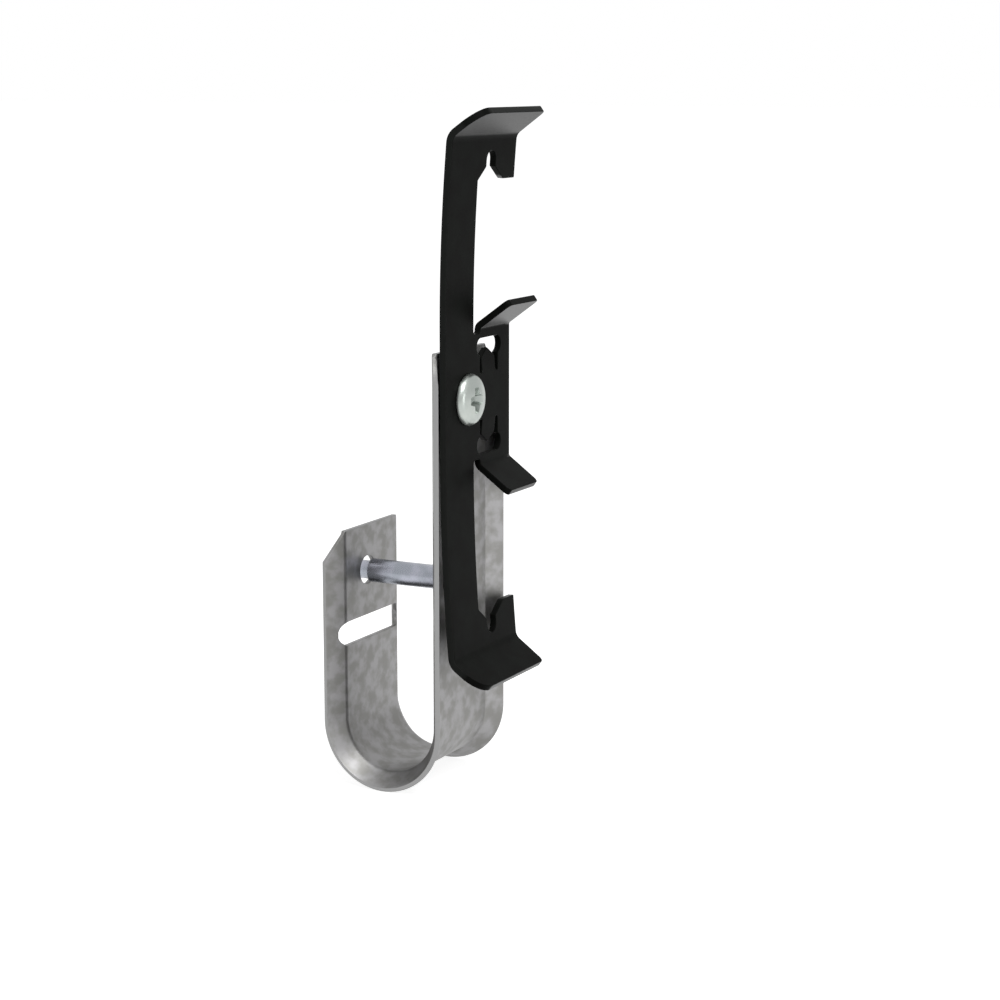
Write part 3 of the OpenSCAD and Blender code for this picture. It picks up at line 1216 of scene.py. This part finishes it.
    def upper_outline(self) -> Loop:
        """The upper half's outline, from the right edge round to the left."""
        finger_x = self.spine_edge + self.relief_w
        r = self.relief_r
        closed = self.arm_len - self.notch_top
        flare = self.along(closed - self.notch_straight)
        mouth = self.along(self.arm_len - self.tab_len)
        half_notch = self.notch_w / 2
        return [
            *self.tip_corner(self.half_w, self.mid_tip, self.plate_corner_r, 0),
            *self.tip_corner(finger_x, self.mid_tip, self.plate_corner_r, 90),
            *arc((finger_x - r, self.mid_flat), (r, r), 0, -90, self.relief_steps),
            *arc((self.spine_edge + r, self.mid_flat), (r, r), -90, -180, self.relief_steps),
            (self.spine_edge, mouth),
            (self.wire_x - half_notch, flare),
            *arc((self.wire_x, self.along(closed - half_notch)), (half_notch,) * 2, 180, 0, self.arc_steps),
            (self.wire_x + half_notch, flare),
            (self.half_w - self.tab_w, mouth),
            (self.half_w, mouth),
            *self.tip_corner(self.half_w, self.end_tip, self.plate_corner_r, 0),
            *self.tip_corner(-self.half_w, self.end_tip, self.end_corner_r, 90),
        ]

    def window(self) -> Loop:
        """The upper window and slits, which leave a pointed tongue between them."""
        x, root, mid = self.tongue_x, self.tongue_root, self.window_y
        r = self.window_h / 2
        centre = (self.window_w - self.window_h) / 2
        cut = self.tongue_w / 2 + self.slit_w
        dip = math.degrees(math.asin(max(0.0, cut - centre) / r))
        tip = mid - r + self.tongue_lap
        half = self.tongue_w / 2
        return [
            (x + cut, root),
            *arc((x + centre, mid), (r, r), dip - 90, 90, self.arc_steps),
            *arc((x - centre, mid), (r, r), 90, 270 - dip, self.arc_steps),
            (x - cut, root),
            (x - half, root),
            (x - half, tip - self.point_h),
            (x, tip),
            (x + half, tip - self.point_h),
            (x + half, root),
        ]

    def build(self) -> list[bpy.types.Object]:
        """Cuts, presses and dresses the clip.

        Returns:
            Its one piece.
        """
        upper = self.upper_outline()
        outline = upper + [(x, -y) for x, y in reversed(upper)]
        window = self.window()
        holes = [
            disc((self.screw_x, 0), self.screw_hole_r),
            window,
            [(x, -y) for x, y in reversed(window)],
        ]
        blank = Blank("black_spring_clip", outline, holes, self.thickness)
        blank.bend_lines(1, self.tongue_bend.start, self.tongue_bend.length, self.tongue_steps)
        blank.bend_lines(1, self.mid_fold.start, self.mid_fold.length, self.fold_steps)
        blank.bend_lines(1, self.bow.start, self.bow.length, self.bow_steps)
        blank.bend_lines(1, self.end_fold.start, self.end_fold.length, self.fold_steps)
        placing = Matrix.Translation((0, self.inner_y * MM, self.middle_z * MM)) @ SHEET_UPRIGHT
        bends = [self.tongue_bend, self.mid_fold, self.end_fold, self.bow]
        press = Press("Press spring clip", bends, placing)
        piece = blank.object()
        add_tree(piece, press.tree(), press.values() | {"Finish": BLACK_STEEL.material(self.edge_distance)})
        thicken(piece, self.thickness, 1.0)
        round_edges(piece, self.edge_round)
        settle(piece, press.placing)
        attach(piece, BODY)
        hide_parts("spring_clip")
        return [piece]

    def edge_distance(self, g: NodeGraph) -> bpy.types.NodeSocket:
        """Nodes for the distance from the clip's long edges and its tips.

        Args:
            g: The material's graph.

        Returns:
            The distance, in millimetres on the blank.
        """
        flat = g.node("ShaderNodeSeparateXYZ")
        g.feed(flat.inputs[0], g.node("ShaderNodeUVMap", uv_map=FLAT_MAP).outputs[0])
        side = g.math("SUBTRACT", self.half_w, g.math("ABSOLUTE", flat.outputs[0]))
        tip = g.math("SUBTRACT", self.end_tip, g.math("ABSOLUTE", flat.outputs[1]))
        return g.math("MINIMUM", side, tip)


# ---------------------------------------------------------------- turned pieces


def thicken(piece: bpy.types.Object, thickness: float, side: float) -> None:
    """Gives a sheet its thickness.

    Args:
        piece: The sheet.
        thickness: In millimetres.
        side: 1 to grow along the normals, -1 against them.
    """
    wall = piece.modifiers.new("Thickness", "SOLIDIFY")
    wall.thickness = thickness * MM
    wall.offset = side
    wall.use_even_offset = True
    wall.use_quality_normals = True


def turned(
    name: str, profile: Loop, placing: Matrix, ring: bool = False, steps: int = 72
) -> bpy.types.Object:
    """Turns a profile round +Z, as on a lathe.

    Args:
        name: The piece's name.
        profile: Points (radius, height), in millimetres.
        placing: Where the turned piece goes.
        ring: Whether the profile closes on itself and never meets the axis.
        steps: Facets round the axis.

    Returns:
        The object, closed and facing outwards.
    """
    bm = bmesh.new()
    rings = []
    for radius, height in profile:
        if radius < ON_AXIS:
            rings.append([bm.verts.new((0, 0, height * MM))])
            continue
        turns = [2 * math.pi * i / steps for i in range(steps)]
        rings.append(
            [bm.verts.new((radius * MM * math.cos(t), radius * MM * math.sin(t), height * MM)) for t in turns]
        )
    pairs = list(zip(rings, rings[1:] + (rings[:1] if ring else [])))
    for low, high in pairs if ring else pairs[: len(rings) - 1]:
        for i in range(steps):
            j = (i + 1) % steps
            corners = [low[i % len(low)], low[j % len(low)], high[j % len(high)], high[i % len(high)]]
            unique = list(dict.fromkeys(corners))
            if len(unique) > 2:
                bm.faces.new(unique)
    bmesh.ops.recalc_face_normals(bm, faces=bm.faces)
    bm.transform(placing)
    mesh = bpy.data.meshes.new(name)
    bm.to_mesh(mesh)
    bm.free()
    mesh.shade_smooth()
    piece = bpy.data.objects.new(name, mesh)
    bpy.context.scene.collection.objects.link(piece)
    return piece


@dataclass
class RetainingPin:
    """The zinc pin across the mouth, turned along +Y."""

    shank_r: float = 2.3
    nose_r: float = 1.8
    head_r: float = 3.8
    head_t: float = 1.2
    shoulder_gap: float = 0.9
    leg_inner: float = 9.5
    leg_outer: float = 10.5
    chamfer: float = 0.4
    soft: float = 0.12
    head_steps: int = 4
    rim_steps: int = 3
    nose_steps: int = 6

    def __post_init__(self) -> None:
        """Takes the pin's axis and its two ends from the frame."""
        low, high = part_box("retaining_pin")
        self.axis = (low + high) / 2
        self.head_end, self.nose_end = low.y / MM, high.y / MM

    def build(self) -> list[bpy.types.Object]:
        """Turns and dresses the pin.

        Returns:
            Its one piece.
        """
        shoulder = self.leg_inner - self.shoulder_gap
        c, soft = self.chamfer, self.soft
        profile = [
            (0.0, self.head_end),
            (self.head_r - c, self.head_end),
            *arc((self.head_r - c / 2, self.head_end + c / 2), (c / 2, c / 2), -90, 0, self.head_steps),
            *arc((self.head_r - soft, -self.leg_outer - soft), (soft, soft), 0, 90, self.rim_steps),
            (self.shank_r + soft, -self.leg_outer),
            (self.shank_r, -self.leg_outer + soft),
            (self.shank_r, 0.0),
            *arc((self.shank_r - c, shoulder - c), (c, c), 0, 90, self.nose_steps),
            (self.nose_r + soft, shoulder),
            (self.nose_r, shoulder + soft),
            *arc((self.nose_r - c, self.nose_end - c), (c, c), 0, 90, self.nose_steps),
            (0.0, self.nose_end),
        ]
        placing = Matrix.Translation((self.axis.x, 0, self.axis.z)) @ AXIS_TO_Y
        piece = turned("zinc_retaining_pin", profile, placing)
        piece.data.materials.append(ZINC_PIN.material())
        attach(piece, BODY)
        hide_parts("retaining_pin")
        return [piece]


@dataclass
class ClipScrew:
    """The cross-recess screw, its head towards -Y."""

    shank_r: float = 2.4
    thread_depth: float = 0.35
    pitch: float = 0.8
    head_r: float = 4.9
    head_rim: float = 0.7
    head_h: float = 2.5
    cross_len: float = 5.4
    cross_w: float = 1.5
    cross_depth: float = 1.8
    cross_taper: float = 0.6
    sharp_turn: float = 30.0
    pan_h: float = 2.1
    crown: float = 2.6
    rim_soft: float = 0.18
    crown_seam: float = 1.0
    crown_steps: int = 10
    head_facets: int = 96
    core_facets: int = 40
    cross_root: float = 1.5
    cross_point: float = 0.35
    punch_over: float = 0.3
    tip_chamfer: float = 0.5
    tip_rise: float = 0.4
    seat_lap: float = 0.1
    thread_end: float = 0.45
    thread_inset: float = 0.02

    TURN_FACETS = 40
    RIDGE_SIDES = 4

    def __post_init__(self) -> None:
        """Takes the screw's axis and ends from the frame."""
        low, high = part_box("clip_screw")
        self.axis = (low + high) / 2
        self.seat_y = low.y / MM + self.head_h
        self.tip_y = high.y / MM

    def placing(self) -> Matrix:
        """Sets the screw's own frame, head up along +Z from its seat, into the row frame."""
        return Matrix.Translation((self.axis.x, self.seat_y * MM, self.axis.z)) @ SHEET_UPRIGHT

    def head(self) -> bpy.types.Object:
        """Turns the domed head and cuts its recess.

        Returns:
            The head.
        """
        soft = self.rim_soft
        shoulder = self.pan_h - self.head_rim
        crown_r = self.crown * self.head_r
        rise = crown_r - math.sqrt(crown_r**2 - (self.head_r - shoulder) ** 2)
        lean = math.degrees(math.asin((self.head_r - shoulder) / crown_r))
        top, steps = self.pan_h - rise, self.crown_steps
        profile = [
            (0.0, 0.0),
            (self.head_r - soft, 0.0),
            (self.head_r, soft),
            *arc((self.head_r - shoulder, top - shoulder), (shoulder, shoulder), 0, 90 - lean, steps),
            *arc((0.0, self.pan_h - crown_r), (crown_r, crown_r), 90 - lean + self.crown_seam, 90, steps),
        ]
        head = turned("zinc_screw_head", profile, Matrix.Identity(4), steps=self.head_facets)
        cutter = self.recess()
        cut = head.modifiers.new("Cross recess", "BOOLEAN")
        cut.operation = "DIFFERENCE"
        cut.solver = "EXACT"
        cut.object = cutter
        settle(head, self.placing())
        head.data.set_sharp_from_angle(angle=math.radians(self.sharp_turn))
        bpy.data.objects.remove(cutter)
        return head

    def recess(self) -> bpy.types.Object:
        """The cross-shaped punch that the recess is cut with.

        Returns:
            The punch, in the screw's own frame.
        """
        bm = bmesh.new()
        half, thin, top = self.cross_len / 2, self.cross_w / 2, self.pan_h + self.punch_over
        floor = self.pan_h - self.cross_depth
        narrow = self.cross_taper
        ring = [(half, thin), (thin * self.cross_root, thin * self.cross_root), (thin, half)]
        outer, inner = [], []
        for quarter in range(4):
            for x, y in ring:
                for _ in range(quarter):
                    x, y = -y, x
                outer.append(bm.verts.new((x * MM, y * MM, top * MM)))
                inner.append(bm.verts.new((x * narrow * MM, y * narrow * MM, floor * MM)))
        point = bm.verts.new((0, 0, (floor - self.cross_point) * MM))
        bm.faces.new(outer)
        count = len(outer)
        for i in range(count):
            j = (i + 1) % count
            bm.faces.new((outer[j], outer[i], inner[i], inner[j]))
            bm.faces.new((inner[j], inner[i], point))
        bmesh.ops.recalc_face_normals(bm, faces=bm.faces)
        mesh = bpy.data.meshes.new("cross_punch")
        bm.to_mesh(mesh)
        bm.free()
        punch = bpy.data.objects.new("cross_punch", mesh)
        bpy.context.scene.collection.objects.link(punch)
        punch.hide_render = True
        punch.display_type = "WIRE"
        return punch

    def thread_tree(self) -> bpy.types.NodeTree:
        """Geometry Nodes tree that rolls a thread on a round core.

        Returns:
            The tree, with inputs for length, radius, depth, pitch and finish.
        """
        g = new_tree(
            "Roll thread",
            "GeometryNodeTree",
            {
                "Geometry": SocketKind.GEOMETRY,
                "Length": SocketKind.NUMBER,
                "Radius": SocketKind.NUMBER,
                "Depth": SocketKind.NUMBER,
                "Pitch": SocketKind.NUMBER,
                "Finish": SocketKind.FINISH,
            },
            {"Geometry": SocketKind.GEOMETRY},
        )
        given = g.tree.nodes["In"].outputs
        turns = g.math("DIVIDE", given["Length"], given["Pitch"])
        core = g.math("SUBTRACT", given["Radius"], given["Depth"])
        helix = g.node("GeometryNodeCurveSpiral")
        helix.inputs["Resolution"].default_value = self.TURN_FACETS
        g.feed(helix.inputs["Rotations"], turns)
        g.feed(helix.inputs["Start Radius"], core)
        g.feed(helix.inputs["End Radius"], core)
        g.feed(helix.inputs["Height"], given["Length"])
        ridge = g.node("GeometryNodeCurvePrimitiveCircle", mode="RADIUS")
        ridge.inputs["Resolution"].default_value = self.RIDGE_SIDES
        g.feed(ridge.inputs["Radius"], given["Depth"])
        sweep = g.node("GeometryNodeCurveToMesh")
        g.feed(sweep.inputs["Curve"], helix.outputs[0])
        g.feed(sweep.inputs["Profile Curve"], ridge.outputs[0])
        sweep.inputs["Fill Caps"].default_value = True
        join = g.node("GeometryNodeJoinGeometry")
        g.feed(join.inputs[0], given["Geometry"])
        g.tree.links.new(sweep.outputs[0], join.inputs[0])
        realize = g.node("GeometryNodeRealizeInstances")
        g.feed(realize.inputs[0], join.outputs[0])
        dress = g.node("GeometryNodeSetMaterial")
        g.feed(dress.inputs["Geometry"], realize.outputs[0])
        g.feed(dress.inputs["Material"], given["Finish"])
        g.feed(g.tree.nodes["Out"].inputs[0], dress.outputs[0])
        return g.tree

    def shank(self) -> bpy.types.Object:
        """Turns the core and rolls the thread on it.

        Returns:
            The shank.
        """
        length = self.tip_y - self.seat_y
        core = self.shank_r - self.thread_depth
        profile = [
            (0.0, -length),
            (core - self.tip_chamfer, -length),
            (core, -length + self.tip_rise),
            (core, self.seat_lap),
            (0.0, self.seat_lap),
        ]
        shank = turned("zinc_screw_shank", profile, Matrix.Identity(4), steps=self.core_facets)
        run = length - 2 * self.thread_end
        raised = (run + self.thread_end) * MM
        shank.data.transform(Matrix.Translation((0, 0, raised)))
        values = {
            "Length": run * MM,
            "Radius": (self.shank_r - self.thread_inset) * MM,
            "Depth": self.thread_depth * MM,
            "Pitch": self.pitch * MM,
            "Finish": ZINC_SCREW.material(),
        }
        add_tree(shank, self.thread_tree(), values)
        lowered = Matrix.Translation((0, 0, -raised))
        return settle(shank, self.placing() @ lowered)

    def build(self) -> list[bpy.types.Object]:
        """Builds and dresses the screw.

        Returns:
            Its head and its shank.
        """
        head, shank = self.head(), self.shank()
        head.data.materials.clear()
        head.data.materials.append(ZINC_SCREW.material())
        for piece in (head, shank):
            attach(piece, BODY)
        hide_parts("clip_screw")
        return [head, shank]


# ---------------------------------------------------------------- studio


@dataclass
class SoftLight:
    """A large soft lamp that faces the object.

    Attributes:
        name: Its name.
        azimuth: Where it stands, by the same angles as the camera.
        elevation: Its angle above the horizon.
        distance: How far off it is, in metres.
        size: Its width, in metres.
        power: In watts.
    """

    name: str
    azimuth: float
    elevation: float
    distance: float
    size: float
    power: float

    def place(self, target: Vector) -> None:
        """Adds the lamp.

        Args:
            target: What it faces.
        """
        lamp = bpy.data.lights.new(self.name, "AREA")
        lamp.shape = "SQUARE"
        lamp.size = self.size
        lamp.energy = self.power
        stand = bpy.data.objects.new(self.name, lamp)
        away = direction(self.azimuth, self.elevation)
        stand.location = target + away * self.distance
        stand.rotation_mode = "QUATERNION"
        stand.rotation_quaternion = (-away).to_track_quat("-Z", "Y")
        bpy.context.scene.collection.objects.link(stand)


def direction(azimuth: float, elevation: float) -> Vector:
    """Unit vector from the object to where a camera or lamp stands.

    Args:
        azimuth: 0 looks along +Y, 90 along -X, in degrees.
        elevation: Angle above the horizon, in degrees.

    Returns:
        The vector.
    """
    a, e = math.radians(azimuth), math.radians(elevation)
    return Vector((math.sin(a) * math.cos(e), -math.cos(a) * math.cos(e), math.sin(e)))


@dataclass
class Studio:
    """Camera, lamps, world and floor.

    Attributes:
        azimuth: The camera's angle round the object.
        elevation: Its angle above the horizon.
        distance: From the camera to its target, in metres.
        lens: Focal length, in millimetres.
        target: What the middle of the picture looks at, in metres.
        sensor: Width of the sensor, in millimetres.
        clip: Nearest and farthest distance that the camera shows, in metres.
        ambient: Brightness of the world on the object.
        floor_glow: Brightness that the floor shows on top of its own light.
        floor_tone: Grey of the floor.
        floor_roughness: Roughness of the floor.
        floor_half: Half the floor's width, in metres.
        floor_gap: How far the floor lies under the object, in metres.
    """

    azimuth: float = -62.7
    elevation: float = 10.4
    distance: float = 0.44935
    lens: float = 84.2
    target: tuple[float, float, float] = (0.00760, -0.01472, 0.04187)
    sensor: float = 36.0
    clip: tuple[float, float] = (0.01, 20.0)
    ambient: float = 0.4
    floor_glow: float = 0.78
    floor_tone: float = 0.7
    floor_roughness: float = 0.9
    floor_half: float = 8.0
    floor_gap: float = 0.0001
    lamps: list[SoftLight] = field(
        default_factory=lambda: [
            SoftLight("Top softbox", -40.0, 58.0, 0.70, 0.40, 3.2),
            SoftLight("Front softbox", -8.0, 6.0, 0.90, 0.35, 1.0),
        ]
    )

    def camera(self) -> None:
        """Sets the camera up."""
        lens = bpy.data.cameras.new("Camera")
        lens.lens = self.lens
        lens.sensor_width = self.sensor
        lens.clip_start, lens.clip_end = self.clip
        eye = bpy.data.objects.new("Camera", lens)
        away = direction(self.azimuth, self.elevation)
        eye.location = Vector(self.target) + away * self.distance
        eye.rotation_mode = "QUATERNION"
        eye.rotation_quaternion = (-away).to_track_quat("-Z", "Y")
        bpy.context.scene.collection.objects.link(eye)
        bpy.context.scene.camera = eye

    def world(self) -> None:
        """Sets an even world that shows white to the camera and in reflections."""
        world = bpy.data.worlds.new("Studio")
        world.use_nodes = True
        bpy.context.scene.world = world
        g = NodeGraph(world.node_tree)
        even = world.node_tree.nodes["Background"]
        shown = self.shown(g)
        even.inputs["Color"].default_value = (1.0, 1.0, 1.0, 1.0)
        strength = g.math("ADD", g.math("MULTIPLY", shown, 1.0 - self.ambient), self.ambient)
        g.feed(even.inputs["Strength"], strength)

    @staticmethod
    def shown(g: NodeGraph) -> bpy.types.NodeSocket:
        """Whether a ray is one that shows the backdrop, not one that lights by it.

        Args:
            g: The graph.

        Returns:
            1 for what the camera, a reflection or a refraction sees.
        """
        path = g.node("ShaderNodeLightPath").outputs
        seen = g.math("MAXIMUM", path["Is Camera Ray"], path["Is Glossy Ray"])
        return g.math("MAXIMUM", seen, path["Is Transmission Ray"])

    def floor(self) -> None:
        """Lays a wide pale floor that blends into the background."""
        low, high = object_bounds()
        size = self.floor_half
        mesh = bpy.data.meshes.new("floor")
        z = low.z - self.floor_gap
        corners = [(-size, -size, z), (size, -size, z), (size, size, z), (-size, size, z)]
        mesh.from_pydata(corners, [], [(0, 1, 2, 3)])
        floor = bpy.data.objects.new("floor", mesh)
        bpy.context.scene.collection.objects.link(floor)
        finish = bpy.data.materials.new("Pale floor")
        finish.use_nodes = True
        shader = finish.node_tree.nodes["Principled BSDF"]
        shader.inputs["Base Color"].default_value = (*[self.floor_tone] * 3, 1.0)
        shader.inputs["Roughness"].default_value = self.floor_roughness
        shader.inputs["Specular IOR Level"].default_value = 0.0
        shader.inputs["Emission Color"].default_value = (1.0, 1.0, 1.0, 1.0)
        g = NodeGraph(finish.node_tree)
        g.feed(shader.inputs["Emission Strength"], g.math("MULTIPLY", self.shown(g), self.floor_glow))
        mesh.materials.append(finish)
        floor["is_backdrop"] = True

    def build(self) -> None:
        """Sets the studio up."""
        scene = bpy.context.scene
        scene.view_settings.view_transform = "Standard"
        self.camera()
        self.world()
        self.floor()
        middle = Vector(self.target)
        for lamp in self.lamps:
            lamp.place(middle)


def main() -> None:
    """Builds every sub-assembly in order, then the studio."""
    logging.basicConfig(level=logging.INFO, format="%(name)s: %(message)s")
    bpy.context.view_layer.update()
    for assembly in (JHook(), SpringClip(), ClipScrew(), RetainingPin()):
        for piece in assembly.build():
            log.info("%s: %s has %d faces", type(assembly).__name__, piece.name, len(piece.data.polygons))
    Studio().build()


if __name__ == "__main__":
    main()
